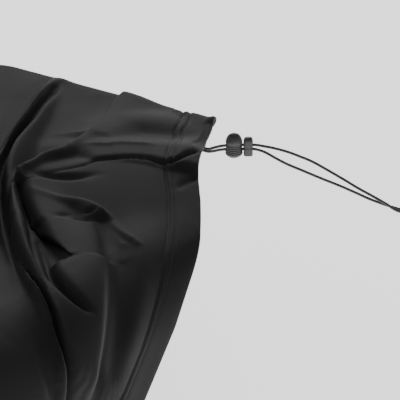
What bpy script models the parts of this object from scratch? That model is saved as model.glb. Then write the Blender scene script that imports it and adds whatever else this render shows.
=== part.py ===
"""Fitted stretch dust cover for a long keyboard instrument, one corner pushed back over the top.

The cover is one sheet. It is laid out flat as a grid, its near edge follows the hem, its folds come
from a table, and it is then wrapped over the top's edges. A drawcord leaves the hem at the pushed-back
corner, runs through a cord lock and ends in a knot.

The layout has x along the cover, 0 at the far end's top edge and negative towards the other end, and y
across it, 0 at the near top edge. Past a top edge x and y go on down the side. Lengths are millimetres
until the last step. The origin is under the middle of the top.
"""

import math

import bmesh
import bpy
import numpy as np
from mathutils import Matrix, Vector

MM = 0.001
GAP = 0.3
TINY = 1e-6

# Colours, and roughness of each finish.
KNIT_LOOK = ((0.028, 0.028, 0.030), 0.75)
KNIT_SHEEN = 0.3
CORD_LOOK = ((0.03, 0.03, 0.032), 0.6)
NYLON_LOOK = ((0.02, 0.02, 0.021), 0.4)
STEEL_LOOK = ((0.75, 0.75, 0.76), 0.25)

# The box that the cover fits.
LENGTH = 1360.0
DEPTH = 400.0
CORNER_RADIUS = 40.0
ORIGIN = Vector((-LENGTH / 2, DEPTH / 2, 0.0))

# The cloth. Its middle lies at least this far off the box.
SHEET = 1.2
LOWEST = 0.9
SIDE_DROP = 160.0
NEAR_DROP = 172.0

# How a side hangs: distance from the top edge, and the angle below level that the cloth has there.
# The loose side is the near side's middle, where the cloth is pulled up over the edge.
PLAIN_SIDE = ((-4, 0), (7, 86), (110, 90), (138, 92), (148, 128), (400, 128))
NEAR_SIDE = ((-12, 0), (16, 63), (104, 63), (118, 90), (146, 93), (158, 128), (400, 128))
LOOSE_SIDE = ((-46, 0), (50, 63), (104, 63), (118, 90), (146, 93), (158, 128), (400, 128))
LOOSE_SPAN = (-620.0, -500.0, -310.0, -170.0)
HANG_MARKS = (-60.0, 400.0)

# The hem, where the layout ends on its near side.
HEM = (
    (220, 372), (150, 312), (100, 262), (45, 196), (8, 153), (-18, 136), (-46, 122), (-64, 111),
    (-123, 76), (-153, 54), (-171, 40), (-208, 14), (-233, -2), (-267, -22), (-320, -53),
    (-369, -82), (-424, -114), (-476, -142), (-530, -163), (-582, -NEAR_DROP), (-700, -NEAR_DROP),
    (-1600, -NEAR_DROP),
)

# Folds are held in to the hem over this depth, except where the corner is pushed back.
HEM_HOLD = (10.0, 60.0)
HOLD_SPAN = (-290.0, -210.0)

# The grid: stations along x, stations of the back rows, and the number of all rows; the rows past
# the back ones share out what is left of the way to the near hem.
COLUMNS = ((SIDE_DROP, 0), (12, 6), (-12, 10), (-480, 53), (-720, 60), (-1340, 63), (-1376, 67),
           (-LENGTH - SIDE_DROP, 71))
BACK_ROWS = ((DEPTH + SIDE_DROP, 0), (DEPTH + 12, 4), (DEPTH - 14, 9))
ROWS = 40

# Fold lines are given as seen from the corner view: pixels across and down a 400-pixel view whose
# scale is PIXELS_PER_MM, with the far near-side corner of the top at VIEW_CORNER, and a height in mm.
PIXELS_PER_MM = 1.15
VIEW_CORNER = (352.0, 160.0)
VIEW_ALONG = (0.816, 0.578)
VIEW_DOWN = math.radians(22.4)
ROUTE_SPACING = 4.0
FINE_SPACING = 1.0
SEEN_STEPS = 12
SEEN_SHARE = 0.8

# Each fold: widths towards the back and towards the near side at its start and its end, fullness of
# both flanks, how far its crest leans back, how long it takes to rise and to fade, and its crest.
BLEND = 1.6
FOLDS = {
    "bed": (46, 110, 110, 2.0, 2.0, 0, 40, 80, (
        (216, 150, 8), (178, 156, 16), (110, 161, 19), (64, 166, 19), (30, 170, 17), (10, 172, 8),
        (-80, 185, 1), (-150, 194, 1),
    )),
    "top ridge": (13, 12, 50, 2.2, 2.0, 3, 14, 60, (
        (80, 79, 1), (58, 79, 7), (38, 99, 15), (21, 123, 20), (6, 150, 24), (-9, 174, 26),
        (-38, 216, 25), (-90, 290, 16), (-150, 370, 8),
    )),
    "lip": (9, 50, 12, 2.2, 2.2, 4, 20, 6, (
        (150, 78, 8), (125, 92, 9), (110, 112, 13.5), (78, 141, 21.5), (48, 152, 23), (25, 167, 23),
        (21, 170, 23),
    )),
    "flipped panel": (46, 46, 26, 2.0, 2.0, 0, 50, 30, (
        (230, 128, 4), (204, 127, 7), (174, 122, 12), (140, 118, 14), (122, 122, 15), (86, 141, 19),
    )),
    "second crest": (58, 40, 34, 1.8, 5.0, 0, 60, 56, (
        (250, 148, 20), (204, 149, 23), (170, 147, 22.5), (118, 144, 21.5), (80, 146, 21), (38, 157, 20),
    )),
    "broad fold": (20, 13, 10, 2.0, 2.0, 1, 6, 30, (
        (25, 172, 20), (60, 193, 18.5), (99, 203, 18.5), (125, 225, 17.5), (158, 251, 12),
    )),
    "quad edge": (9, 46, 46, 3.0, 4.0, 3, 8, 10, (
        (25, 175, 20), (37, 206, 18.5), (52, 229, 17.5), (78, 256, 15),
    )),
    "strip": (9, 9, 13, 3.0, 3.0, 0, 6, 60, (
        (34, 161, 18), (20, 175, 25), (18, 204, 27), (26, 245, 26), (54, 304, 23), (68, 360, 20),
        (80, 430, 16),
    )),
    "middle panel": (62, 12, 13, 3.2, 2.2, 0, 10, 60, (
        (84, 222, 15), (98, 268, 18), (98, 330, 19), (82, 430, 14),
    )),
    "skirt": (26, 40, 48, 2.0, 2.0, 0, 110, 60, (
        (166, 170, 3), (138, 222, 8), (126, 290, 13), (114, 380, 13), (106, 430, 12),
    )),
    "left panel": (80, 17, 17, 2.0, 3.0, 0, 120, 40, (
        (-36, 180, 1), (-12, 238, 2), (8, 285, 7), (34, 350, 12), (52, 415, 11), (72, 490, 10),
    )),
}

# Each furrow: width, fullness, how long it takes to sink at its start and end, and its floor.
FURROWS = {
    "valley": (9, 1.8, 30, 60, (
        (70, 84, 1), (41, 112, 1), (20, 144, 1), (5, 179, 0), (4, 225, 0), (22, 280, 4),
    )),
    "corner seam": (7, 1.6, 20, 6, (
        (203, 155, 15), (176, 169, 15), (151, 164, 16), (95, 164, 16), (46, 173, 17), (27, 171, 19),
    )),
    "under diagonal": (9, 1.8, 20, 20, (
        (92, 214, 12), (114, 228, 9), (138, 248, 9), (148, 255, 9),
    )),
    "hollow": (9, 2.2, 16, 10, (
        (25, 181, 11), (28, 206, 6), (41, 237, 5), (58, 268, 7),
    )),
    "beside strip": (9, 1.8, 16, 20, (
        (38, 240, 4), (52, 283, 4), (78, 310, 9), (93, 316, 12),
    )),
    "left of strip": (9, 1.8, 30, 30, (
        (8, 240, 9), (31, 284, 7), (53, 340, 6), (66, 399, 5), (72, 430, 5),
    )),
    "right of middle": (14, 1.8, 30, 30, (
        (99, 226, 11), (121, 270, 6), (118, 335, 6), (103, 400, 6),
    )),
}

# The drawcord's two strands, each a route of its own from the hem to the knot.
CORD_RADIUS = 1.25
UPPER_ROUTE = (
    (-54.0, 123.0, 2.2), (-57.0, 113.6, 2.5), (-58.6, 106.0, 6.0), (-58.6, 99.0, 9.2),
    (-56.6, 92.6, 10.9), (-53.3, 88.0, 11.3), (-46.6, 78.5, 11.3), (-42.4, 72.2, 11.2), (-40.1, 63.5, 11.0),
    (-39.0, 55.0, 11.0), (-38.7, 41.8, 10.8), (-40.2, 29.0, 10.5), (-43.4, 12.0, 10.2),
    (-50.8, -9.5, 9.8), (-59.3, -32.8, 9.2), (-67.0, -53.5, 8.5), (-72.8, -72.7, 7.6),
    (-78.3, -90.4, 6.6), (-82.8, -103.5, 5.6), (-83.4, -111.5, 4.7),
)
LOWER_ROUTE = (
    (-60.4, 120.0, 2.2), (-61.6, 110.4, 2.4), (-61.6, 104.4, 4.2), (-59.6, 98.4, 6.2), (-56.6, 92.8, 7.2),
    (-53.3, 88.0, 7.4), (-46.6, 78.5, 7.4), (-43.0, 72.6, 7.3), (-42.6, 66.0, 7.1),
    (-43.8, 60.0, 7.0), (-47.9, 48.7, 6.8), (-53.2, 31.5, 6.4), (-56.8, 12.2, 6.0),
    (-60.3, -7.7, 5.4), (-63.4, -30.0, 4.6), (-66.8, -49.6, 3.8), (-70.4, -68.1, 3.0),
    (-72.4, -86.2, 2.5), (-73.4, -99.5, 2.6), (-75.6, -110.5, 3.4),
)
CORD_POINTS = 40
CORD_ROUNDNESS = 2
KNOT_CENTRE = (-79.6, -118.4, 4.0)
KNOT_RADIUS = 4.8
KNOT_TURNS = 3
KNOT_BULGE = 0.06
KNOT_TWIST = 400.0
KNOT_SEGMENTS = 18
KNOT_RINGS = 10

# The cord lock, upright, with the strands through its middle.
LOCK_CENTRE = (-53.3, 88.0)
LOCK_TURN = math.radians(35.0)
LOCK_FOOT = 1.6
BARREL_PROFILE = ((0.0, LOCK_FOOT), (5.2, LOCK_FOOT), (6.6, 2.4), (7.2, 4.6), (7.6, 8.4), (7.5, 12.0),
                  (7.1, 15.6), (6.0, 18.8), (4.0, 21.0), (0.0, 22.0))
BARREL_STEPS = 28
AXIS_MERGE = 0.00001
PLUNGER_SIZE = (8.6, 8.4, 16.6)
PLUNGER_REACH = 12.4
PLUNGER_ROUNDING = 2.4
ROUNDING_STEPS = 4
SLOT_SIZE = (3.5, 40.0, 7.4)
SLOT_HEIGHT = 9.35
SPRING_RADIUS = 4.4
SPRING_WIRE = 0.5
SPRING_HEIGHT = 0.75
SPRING_SEGMENTS = 32
SPRING_SIDES = 8


def clear_scene():
    for obj in list(bpy.data.objects):
        bpy.data.objects.remove(obj, do_unlink=True)


def new_collection(name):
    made = bpy.data.collections.new(name)
    bpy.context.scene.collection.children.link(made)
    return made


def move_to(collection, obj):
    for old in list(obj.users_collection):
        old.objects.unlink(obj)
    collection.objects.link(obj)


def material(name, colour, roughness, metallic=0.0, sheen=0.0):
    made = bpy.data.materials.new(name)
    made.use_nodes = True
    shader = made.node_tree.nodes["Principled BSDF"]
    shader.inputs["Base Color"].default_value = (*colour, 1.0)
    shader.inputs["Roughness"].default_value = roughness
    shader.inputs["Metallic"].default_value = metallic
    shader.inputs["Sheen Weight"].default_value = sheen
    return made


def finish(obj, name, look):
    obj.name = name
    obj.data.name = name
    obj.data.materials.clear()
    obj.data.materials.append(look)
    move_to(PARTS, obj)


def placed(point):
    """A layout point as a world position in metres."""
    return (Vector(point) - ORIGIN) * MM


def smooth_line(points, spacing):
    """A Catmull-Rom line through the points, with samples about this far apart."""
    knots = np.array(points, float)
    ends = np.vstack([2 * knots[0] - knots[1], knots, 2 * knots[-1] - knots[-2]])
    line = []
    for a, b, c, d in zip(ends, ends[1:], ends[2:], ends[3:]):
        steps = max(2, int(np.linalg.norm(c - b) / spacing))
        t = np.linspace(0.0, 1.0, steps, endpoint=False)[:, None]
        line.append(
            0.5 * (2 * b + (c - a) * t + (2 * a - 5 * b + 4 * c - d) * t**2
                   + (3 * b - a - 3 * c + d) * t**3)
        )
    return np.vstack([*line, knots[-1:]])


def even_line(points, count):
    """The same smooth line as this many points at even distances."""
    line = smooth_line(points, FINE_SPACING)
    run = np.concatenate([[0.0], np.cumsum(np.linalg.norm(np.diff(line, axis=0), axis=1))])
    marks = np.linspace(0.0, run[-1], count)
    return np.column_stack([np.interp(marks, run, line[:, k]) for k in range(3)])


def ease(t):
    t = np.clip(t, 0.0, 1.0)
    return t * t * (3.0 - 2.0 * t)


def hang(turns, distance):
    """How far out and down a side reaches at this distance past the top edge, and its slope there."""
    marks = np.arange(*HANG_MARKS)
    angles = np.radians(np.interp(marks, *np.array(turns, float).T))
    out = np.cumsum(np.cos(angles)) - 1.0 + marks[0]
    down = np.cumsum(np.sin(angles))
    return [np.interp(distance, marks, values) for values in (out, down, angles)]


def wrapped(x, y, height):
    """Layout points laid over the box, with its top level at 0, as points in space."""
    inner_x = np.clip(x, -LENGTH + CORNER_RADIUS, -CORNER_RADIUS)
    inner_y = np.clip(y, CORNER_RADIUS, DEPTH - CORNER_RADIUS)
    over_x = x - inner_x
    over_y = y - inner_y
    far = np.hypot(over_x, over_y)
    beyond = far > TINY
    unit_x = np.divide(over_x, far, out=np.zeros_like(far), where=beyond)
    unit_y = np.divide(over_y, far, out=np.zeros_like(far), where=beyond)
    past = np.maximum(np.abs(over_x), np.abs(over_y)) - CORNER_RADIUS
    plain = hang(PLAIN_SIDE, past)
    sloped = hang(NEAR_SIDE, past)
    loose = hang(LOOSE_SIDE, past)
    loose_share = np.interp(x, LOOSE_SPAN, (0.0, 1.0, 1.0, 0.0))
    sloped = [n + (l - n) * loose_share for n, l in zip(sloped, loose)]
    near_share = np.clip(-unit_y, 0.0, 1.0) ** 2
    out, down, angle = (p + (n - p) * near_share for p, n in zip(plain, sloped))
    reach = np.where(beyond, CORNER_RADIUS + out + height * np.sin(angle), 0.0)
    return np.column_stack(
        [inner_x + unit_x * reach, inner_y + unit_y * reach, height * np.cos(angle) - down]
    )


def laid(place, height):
    """Layout places laid over the top and down its near side only."""
    kept_x = np.minimum(place[:, 0], -CORNER_RADIUS)
    kept_y = np.minimum(place[:, 1], DEPTH - CORNER_RADIUS)
    level = np.column_stack([place[:, 0] - kept_x, place[:, 1] - kept_y, np.zeros_like(kept_x)])
    return wrapped(kept_x, kept_y, height) + level


def seen(points):
    """Layout places of points given across and down the view, each at its height."""
    along_x, along_y = VIEW_ALONG
    tilt = math.sin(VIEW_DOWN)
    across_axis = (along_y, -along_x, 0.0)
    down_axis = (-tilt * along_x, -tilt * along_y, -math.cos(VIEW_DOWN))
    to_view = np.array([across_axis, down_axis]).T * PIXELS_PER_MM
    across, down, height = np.array(points, float).T
    target = np.column_stack([across, down]) - VIEW_CORNER
    place = np.linalg.solve(to_view[:2].T, (target - height[:, None] * to_view[2]).T).T
    for _ in range(SEEN_STEPS):
        here = laid(place, height) @ to_view
        slope = [laid(place + step, height) @ to_view - here for step in np.eye(2)]
        move = np.linalg.solve(np.stack(slope, axis=2), (target - here)[:, :, None])
        place = place + SEEN_SHARE * move[:, :, 0]
    return np.column_stack([place, height])


def beside(x, y, route):
    """Each point's distance from the route, positive to the back, and what the route has there."""
    line = smooth_line(seen(route), ROUTE_SPACING)
    run = np.concatenate([[0.0], np.cumsum(np.linalg.norm(np.diff(line[:, :2], axis=0), axis=1))])
    heading = np.gradient(line[:, :2], axis=0)
    heading /= np.linalg.norm(heading, axis=1)[:, None]
    away = (x[:, None] - line[:, 0]) ** 2 + (y[:, None] - line[:, 1]) ** 2
    near = away.argmin(axis=1)
    side = heading[near, 1] * (x - line[near, 0]) - heading[near, 0] * (y - line[near, 1])
    distance = np.sqrt(away[np.arange(len(x)), near])
    across = np.where(side >= 0, distance, -distance)
    return across, run[near], run[-1], heading[near], line[near, 2]


def hem_at(x):
    """The near hem's y at this x, and how much longer a step square to it is along y."""
    line = smooth_line(HEM, ROUTE_SPACING)
    y = np.interp(-x, -line[:, 0], line[:, 1])
    slant = np.interp(-x, -line[:, 0], np.gradient(line[:, 1], line[:, 0]))
    return y, np.hypot(1.0, slant)


def folded(x, y):
    """The layout moved by its folds: x, y and the height above the bare box."""
    height = np.full_like(x, LOWEST)
    shift_x = np.zeros_like(x)
    shift_y = np.zeros_like(y)
    for back, near, near_end, back_full, near_full, lean, rise, fade, crest in FOLDS.values():
        across, along, whole, heading, tall = beside(x, y, crest)
        near = near + (near_end - near) * along / whole
        back_flank = np.exp(-np.abs(across / back) ** back_full)
        near_flank = np.exp(-np.abs(across / near) ** near_full)
        shape = np.where(across >= 0, back_flank, near_flank)
        shape *= ease(along / rise) * ease((whole - along) / fade)
        height = np.logaddexp(height / BLEND, tall * shape / BLEND) * BLEND
        shift_x += lean * shape * heading[:, 1]
        shift_y -= lean * shape * heading[:, 0]
    height -= LOWEST
    for width, full, start, end, route in FURROWS.values():
        across, along, whole, _, floor = beside(x, y, route)
        shape = np.exp(-np.abs(across / width) ** full)
        shape *= ease(along / start) * ease((whole - along) / end)
        height += np.minimum(floor - height, 0.0) * shape
    near, stretch = hem_at(x)
    held = ease(((y - near) / stretch + HEM_HOLD[0]) / HEM_HOLD[1])
    held = held + (1.0 - held) * np.interp(x, HOLD_SPAN, (0.0, 1.0))
    return x + shift_x, y + shift_y, LOWEST + np.maximum(height - LOWEST, 0.0) * held


def make_cover():
    """The whole sheet: a grid spread out to the hem, folded, wrapped and given its thickness."""
    columns = COLUMNS[-1][1]
    bpy.ops.mesh.primitive_grid_add(x_subdivisions=columns, y_subdivisions=ROWS, size=2.0)
    cover = bpy.context.object
    flat = np.array([v.co[:2] for v in cover.data.vertices])
    column = (1.0 - flat[:, 0]) / 2 * columns
    row = (1.0 - flat[:, 1]) / 2 * ROWS
    x = np.interp(column, [c[1] for c in COLUMNS], [c[0] for c in COLUMNS])
    last_y, last_row = BACK_ROWS[-1]
    near_hem, _ = hem_at(x)
    back_y = np.interp(row, [r[1] for r in BACK_ROWS], [r[0] for r in BACK_ROWS])
    left_over = np.clip((row - last_row) / (ROWS - last_row), 0.0, 1.0)
    y = back_y + (near_hem - last_y) * left_over
    for vertex, point in zip(cover.data.vertices, wrapped(*folded(x, y))):
        vertex.co = placed(point)
    thick = cover.modifiers.new("thickness", "SOLIDIFY")
    thick.thickness = SHEET * MM
    thick.offset = 0.0
    thick.use_even_offset = False
    cover.data.shade_smooth()
    finish(cover, "cover", material("black stretch knit", *KNIT_LOOK, sheen=KNIT_SHEEN))


def make_strand(name, route):
    curve = bpy.data.curves.new(name, "CURVE")
    curve.dimensions = "3D"
    curve.bevel_depth = CORD_RADIUS * MM
    curve.bevel_resolution = CORD_ROUNDNESS
    curve.use_fill_caps = True
    knot = np.array(KNOT_CENTRE)
    last = np.array(route[-1]) - knot
    last *= ((1.0 + KNOT_BULGE) * KNOT_RADIUS + GAP) / np.linalg.norm(last)
    line = even_line((*route[:-1], knot + last), CORD_POINTS)
    spline = curve.splines.new("POLY")
    spline.points.add(len(line) - 1)
    for spot, point in zip(spline.points, line):
        spot.co = (*placed(point), 1.0)
    obj = bpy.data.objects.new(name, curve)
    bpy.context.scene.collection.objects.link(obj)
    finish(obj, name, CORD_FINISH)


def make_knot():
    bpy.ops.mesh.primitive_uv_sphere_add(
        segments=KNOT_SEGMENTS, ring_count=KNOT_RINGS, radius=KNOT_RADIUS * MM,
    )
    knot = bpy.context.object
    for vertex in knot.data.vertices:
        turn = math.atan2(vertex.co.y, vertex.co.x)
        vertex.co *= 1.0 + KNOT_BULGE * math.sin(KNOT_TURNS * turn + KNOT_TWIST * vertex.co.z)
    knot.location = placed(KNOT_CENTRE)
    knot.data.shade_smooth()
    finish(knot, "cord_knot", CORD_FINISH)


def lock_place(offset, height):
    """World matrix of a lock piece this far along the strands from the barrel's middle."""
    along = Vector((math.sin(LOCK_TURN), -math.cos(LOCK_TURN), 0.0))
    point = Vector((*LOCK_CENTRE, height)) + along * offset
    return Matrix.Translation(placed(point)) @ Matrix.Rotation(LOCK_TURN, 4, "Z")


def cut_slot(obj, cutter):
    cut = obj.modifiers.new("strands' slot", "BOOLEAN")
    cut.operation = "DIFFERENCE"
    cut.solver = "EXACT"
    cut.object = cutter


def make_lock():
    bpy.ops.mesh.primitive_cube_add(size=1.0)
    cutter = bpy.context.object
    cutter.data.transform(Matrix.Diagonal((*(Vector(SLOT_SIZE) * MM), 1.0)))
    cutter.matrix_world = lock_place(0.0, SLOT_HEIGHT)
    cutter.name = "lock slot cutter"
    cutter.hide_render = True
    cutter.display_type = "WIRE"
    move_to(CUTTERS, cutter)

    look = material("black nylon", *NYLON_LOOK)
    mesh = bpy.data.meshes.new("lock_body")
    shape = bmesh.new()
    outline = [shape.verts.new((r * MM, 0.0, z * MM)) for r, z in reversed(BARREL_PROFILE)]
    for a, b in zip(outline, outline[1:]):
        shape.edges.new((a, b))
    shape.to_mesh(mesh)
    shape.free()
    barrel = bpy.data.objects.new("lock_body", mesh)
    bpy.context.scene.collection.objects.link(barrel)
    barrel.matrix_world = lock_place(0.0, 0.0)
    turned = barrel.modifiers.new("turned", "SCREW")
    turned.axis = "Z"
    turned.steps = BARREL_STEPS
    turned.render_steps = BARREL_STEPS
    turned.use_merge_vertices = True
    turned.merge_threshold = AXIS_MERGE
    cut_slot(barrel, cutter)
    finish(barrel, "lock_body", look)

    bpy.ops.mesh.primitive_cube_add(size=1.0)
    plunger = bpy.context.object
    plunger.data.transform(Matrix.Diagonal((*(Vector(PLUNGER_SIZE) * MM), 1.0)))
    plunger.matrix_world = lock_place(PLUNGER_REACH, LOCK_FOOT + PLUNGER_SIZE[2] / 2)
    rounding = plunger.modifiers.new("rounding", "BEVEL")
    rounding.width = PLUNGER_ROUNDING * MM
    rounding.segments = ROUNDING_STEPS
    cut_slot(plunger, cutter)
    finish(plunger, "lock_plunger", look)

    bpy.ops.mesh.primitive_torus_add(
        major_radius=SPRING_RADIUS * MM, minor_radius=SPRING_WIRE * MM,
        major_segments=SPRING_SEGMENTS, minor_segments=SPRING_SIDES,
    )
    spring = bpy.context.object
    spring.matrix_world = lock_place(0.0, SPRING_HEIGHT)
    spring.data.shade_smooth()
    finish(spring, "lock_spring", material("bright steel", *STEEL_LOOK, metallic=1.0))


clear_scene()
PARTS = new_collection("piano cover")
CUTTERS = new_collection("cutters")
CORD_FINISH = material("black polyester cord", *CORD_LOOK)
make_cover()
make_strand("strand_upper", UPPER_ROUTE)
make_strand("strand_lower", LOWER_ROUTE)
make_knot()
make_lock()
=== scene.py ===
import math

import bpy
import numpy as np
from mathutils import Matrix, Vector

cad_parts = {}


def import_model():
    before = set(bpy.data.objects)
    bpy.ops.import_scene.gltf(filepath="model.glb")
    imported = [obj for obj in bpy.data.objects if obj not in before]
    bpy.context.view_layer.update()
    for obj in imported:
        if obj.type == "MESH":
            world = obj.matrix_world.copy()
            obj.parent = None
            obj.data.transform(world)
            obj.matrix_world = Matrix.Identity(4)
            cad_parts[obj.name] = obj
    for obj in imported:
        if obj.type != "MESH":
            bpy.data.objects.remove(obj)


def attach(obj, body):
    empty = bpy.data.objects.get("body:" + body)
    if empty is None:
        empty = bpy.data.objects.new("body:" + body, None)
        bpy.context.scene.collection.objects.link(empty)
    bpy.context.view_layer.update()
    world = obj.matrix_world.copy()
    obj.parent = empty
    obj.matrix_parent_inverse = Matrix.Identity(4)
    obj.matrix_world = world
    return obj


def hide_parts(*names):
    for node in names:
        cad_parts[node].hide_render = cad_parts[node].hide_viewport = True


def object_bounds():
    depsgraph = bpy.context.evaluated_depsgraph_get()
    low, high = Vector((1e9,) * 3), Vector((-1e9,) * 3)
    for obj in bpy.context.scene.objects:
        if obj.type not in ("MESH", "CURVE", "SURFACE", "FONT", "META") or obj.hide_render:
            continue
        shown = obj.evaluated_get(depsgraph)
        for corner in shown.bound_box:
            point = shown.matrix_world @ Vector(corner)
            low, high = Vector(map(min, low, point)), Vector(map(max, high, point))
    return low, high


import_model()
cad_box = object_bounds()
bpy.ops.object.select_all(action="DESELECT")

# ---------------------------------------------------------------------------
# Camera. A long lens from above the near left end, at the picture's angle.
# The layout has x along the cover from the far end's top edge, y across it from
# the near top edge and z over the top, in mm. The origin is under the top's middle.
# ---------------------------------------------------------------------------
MM = 0.001
TOP_LENGTH = 1360.0
TOP_DEPTH = 400.0
UNDER_TOP = Vector((-TOP_LENGTH / 2, TOP_DEPTH / 2, 0.0))
PIXELS_PER_MM = 1.15
FRAME_PIXELS = 400.0
CORNER_ACROSS = 352.0
CORNER_DOWN = 160.0
LOOK_ALONG = Vector((0.816, 0.578, 0.0))
LOOK_DOWN = math.radians(22.4)
CAMERA_DISTANCE = 15.0
CLIP_DISTANCES = 3
SENSOR = 36.0

look = LOOK_ALONG.normalized() * math.cos(LOOK_DOWN) - Vector((0, 0, math.sin(LOOK_DOWN)))
right = look.cross(Vector((0, 0, 1))).normalized()
up = right.cross(look).normalized()
frame_middle = (
    -UNDER_TOP
    + right * (FRAME_PIXELS / 2 - CORNER_ACROSS) / PIXELS_PER_MM
    - up * (FRAME_PIXELS / 2 - CORNER_DOWN) / PIXELS_PER_MM
) * MM
bpy.ops.object.camera_add(location=frame_middle - look * CAMERA_DISTANCE)
camera = bpy.context.object
camera.name = "camera"
camera.rotation_euler = look.to_track_quat("-Z", "Y").to_euler()
camera.data.sensor_width = SENSOR
camera.data.lens = SENSOR * CAMERA_DISTANCE / (FRAME_PIXELS / PIXELS_PER_MM * MM)
camera.data.clip_end = CLIP_DISTANCES * CAMERA_DISTANCE
bpy.context.scene.camera = camera
bpy.ops.object.select_all(action="DESELECT")

# ---------------------------------------------------------------------------
# Drawcord. Two strands of a thin braided polyester cord leave the hem's casing,
# run through the cord lock and end together in a knot outside the frame.
# ---------------------------------------------------------------------------
CORD_RADIUS = 1.25
CORD_RINGS = 160
CORD_SIDES = 14
KNOT_CENTRE = (-79.6, -118.4, 4.0)
KNOT_RADIUS = 4.8
KNOT_CLEARANCE = 0.3
BRAID_PITCH = 3.0
BRAID_CARRIERS = 6
ROUTE_SPACING = 1.0
SEAM_MERGE = 0.01
# Each strand's middle line, in the layout, from inside the hem to the knot.
UPPER_ROUTE = (
    (-54.0, 123.0, 2.2), (-57.0, 113.6, 2.5), (-58.6, 106.0, 6.0), (-58.6, 99.0, 9.2),
    (-56.6, 92.6, 10.9), (-53.3, 88.0, 11.3), (-46.6, 78.5, 11.3), (-42.4, 72.2, 11.2),
    (-40.1, 63.5, 11.0),
    (-39.0, 55.0, 11.0), (-38.7, 41.8, 10.8), (-40.2, 29.0, 10.5), (-43.4, 12.0, 10.2),
    (-50.8, -9.5, 9.8), (-59.3, -32.8, 9.2), (-67.0, -53.5, 8.5), (-72.8, -72.7, 7.6),
    (-78.3, -90.4, 6.6), (-82.8, -103.5, 5.6), (-83.4, -111.5, 4.7),
)
LOWER_ROUTE = (
    (-60.4, 120.0, 2.2), (-61.6, 110.4, 2.4), (-61.6, 104.4, 4.2), (-59.6, 98.4, 6.2),
    (-56.6, 92.8, 7.2), (-53.3, 88.0, 7.4), (-46.6, 78.5, 7.4), (-43.0, 72.6, 7.3),
    (-42.6, 66.0, 7.1),
    (-43.8, 60.0, 7.0), (-47.9, 48.7, 6.8), (-53.2, 31.5, 6.4), (-56.8, 12.2, 6.0),
    (-60.3, -7.7, 5.4), (-63.4, -30.0, 4.6), (-66.8, -49.6, 3.8), (-70.4, -68.1, 3.0),
    (-72.4, -86.2, 2.5), (-73.4, -99.5, 2.6), (-75.6, -110.5, 3.4),
)


def world(points):
    """Layout points in mm as points in the frame, in metres."""
    return (np.asarray(points, float) - np.array(UNDER_TOP)) * MM


def through(points, spacing):
    """A smooth line through the points, sampled about this far apart."""
    knots = np.array(points, float)
    ends = np.vstack([2 * knots[0] - knots[1], knots, 2 * knots[-1] - knots[-2]])
    line = []
    for a, b, c, d in zip(ends, ends[1:], ends[2:], ends[3:]):
        steps = max(2, int(np.linalg.norm((c - b)[:2]) / spacing))
        t = np.linspace(0.0, 1.0, steps, endpoint=False)[:, None]
        bend = (2 * a - 5 * b + 4 * c - d) * t**2 + (3 * b - a - 3 * c + d) * t**3
        line.append(0.5 * (2 * b + (c - a) * t + bend))
    return np.vstack([*line, knots[-1:]])


def evenly(line, count):
    """The line as this many points at even distances."""
    run = np.concatenate([[0.0], np.cumsum(np.linalg.norm(np.diff(line, axis=0), axis=1))])
    marks = np.linspace(0.0, run[-1], count)
    return np.column_stack([np.interp(marks, run, line[:, k]) for k in range(3)])


def braid_finish():
    """Black braid: a herringbone of fine yarns that follows the cord, with painted shade between
    the yarns.
    """
    finish = bpy.data.materials.new("black braid")
    finish.use_nodes = True
    nodes, links = finish.node_tree.nodes, finish.node_tree.links
    shader = nodes["Principled BSDF"]
    shader.inputs["Roughness"].default_value = 0.55
    shader.inputs["Sheen Weight"].default_value = 0.15
    shader.inputs["Sheen Roughness"].default_value = 0.4
    along = nodes.new("ShaderNodeUVMap")
    along.uv_map = "along"
    yarns = []
    for turn in (1.0, -1.0):
        lean = nodes.new("ShaderNodeVectorMath")
        lean.operation = "DOT_PRODUCT"
        lean.inputs[1].default_value = (turn * BRAID_CARRIERS, 1.0 / (BRAID_PITCH * MM), 0.0)
        links.new(along.outputs["UV"], lean.inputs[0])
        wave = nodes.new("ShaderNodeMath")
        wave.operation = "PINGPONG"
        wave.inputs[1].default_value = 0.5
        links.new(lean.outputs["Value"], wave.inputs[0])
        yarns.append(wave)
    crossing_and_shade = nodes.new("ShaderNodeMath")
    crossing_and_shade.operation = "MULTIPLY"
    links.new(yarns[0].outputs["Value"], crossing_and_shade.inputs[0])
    links.new(yarns[1].outputs["Value"], crossing_and_shade.inputs[1])
    # Painted shade: the colour follows the yarns' relief. It is dark in the hollows between the
    # yarns and paler on their raised crossings.
    tone = nodes.new("ShaderNodeValToRGB")
    tone.color_ramp.elements[0].color = (0.045, 0.045, 0.047, 1)
    tone.color_ramp.elements[1].color = (0.110, 0.110, 0.113, 1)
    tone.color_ramp.elements[1].position = 0.25
    links.new(crossing_and_shade.outputs["Value"], tone.inputs["Fac"])
    links.new(tone.outputs["Color"], shader.inputs["Base Color"])
    relief = nodes.new("ShaderNodeBump")
    relief.inputs["Strength"].default_value = 0.4
    relief.inputs["Distance"].default_value = 0.12 * MM
    links.new(crossing_and_shade.outputs["Value"], relief.inputs["Height"])
    links.new(relief.outputs["Normal"], shader.inputs["Normal"])
    return finish


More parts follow.
